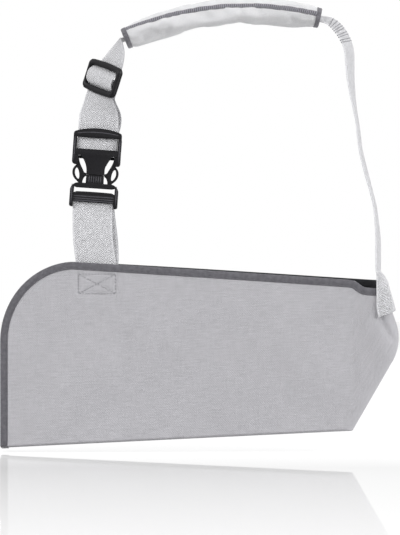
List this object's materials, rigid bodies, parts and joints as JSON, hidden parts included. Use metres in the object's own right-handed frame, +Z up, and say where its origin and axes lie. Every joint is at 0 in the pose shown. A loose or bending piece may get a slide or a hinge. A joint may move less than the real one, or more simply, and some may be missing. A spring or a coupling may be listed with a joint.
{
  "type": "arm sling",
  "caption": "Arm sling: a bound cloth forearm pouch hung from a webbing strap with a padded shoulder sleeve, a side-release buckle and a tri-glide slider.",
  "frame": {"origin": "middle of the shoulder pad's underside, where the sling rests on the neck and shoulder", "axes": "+X from the hand end towards the elbow end, +Y from the front panel towards the wearer's body, +Z up"},
  "size_m": [0.3977, 0.0638, 0.4497],
  "materials": {
    "cloth": "fine plain weave, matt",
    "pad_cloth": "soft brushed knit, matt",
    "binding": "folded tape, ribbed weave",
    "webbing": "herringbone webbing, slight sheen",
    "thread": "sewing thread",
    "foam": "soft foam, stands in as fabric",
    "plastic": "moulded acetal, satin"
  },
  "bodies": {
    "root": {"front_panel": "cloth", "back_panel": "cloth", "bottom_fold": "cloth", "elbow_end": "cloth", "front_binding": "binding", "back_binding": "binding", "box_stitch": "thread", "tab_stitch": "thread", "lower_strap": "webbing", "buckle_loop": "webbing", "shoulder_run": "webbing", "pad_run": "webbing", "elbow_run": "webbing", "elbow_tab": "webbing", "bar_tack": "thread", "buckle_female": "plastic"},
    "flap": {"mouth_flap": "cloth", "flap_binding": "binding"},
    "male": {"buckle_male": "plastic"},
    "left_arm": {"arm_left": "plastic"},
    "right_arm": {"arm_right": "plastic"},
    "slider": {"slider": "plastic", "slider_wrap": "webbing", "end_loop": "webbing"},
    "pad": {"pad_cover": "pad_cloth", "pad_foam": "foam", "pad_seam": "binding", "pad_binding_left": "binding", "pad_binding_right": "binding"}
  },
  "joints": [
    {"name": "mouth_open", "type": "hinge", "parent": "root", "child": "flap", "pos_m": [-0.22, 0.014, -0.407], "axis": [-0.9244, 0, -0.3814], "range_deg": [0, 35], "stiffness_Nm_per_rad": 0.12},
    {"name": "buckle_release", "type": "slide", "parent": "root", "child": "male", "axis": [-0.0698, 0, -0.9976], "range_m": [0, 0.02], "deforming": ["lower_strap", "arm_left", "arm_right"]},
    {"name": "pinch_left", "type": "hinge", "parent": "male", "child": "left_arm", "pos_m": [-0.14098, -0.0084, -0.15559], "axis": [0, 1, 0], "range_deg": [0, 8], "stiffness_Nm_per_rad": 1},
    {"name": "pinch_right", "type": "hinge", "parent": "male", "child": "right_arm", "pos_m": [-0.11305, -0.0084, -0.15754], "axis": [0, -1, 0], "range_deg": [0, 8], "stiffness_Nm_per_rad": 1},
    {"name": "strap_adjust", "type": "slide", "parent": "root", "child": "slider", "axis": [0.307, -0.1132, 0.9449], "range_m": [-0.015, 0.008], "deforming": ["buckle_loop", "shoulder_run"]},
    {"name": "pad_shift", "type": "hinge", "parent": "root", "child": "pad", "pos_m": [0.03287, 0, -0.31278], "axis": [0, 1, 0], "range_deg": [-1.5, 1.5], "deforming": ["shoulder_run", "elbow_run", "bar_tack"]}
  ]
}
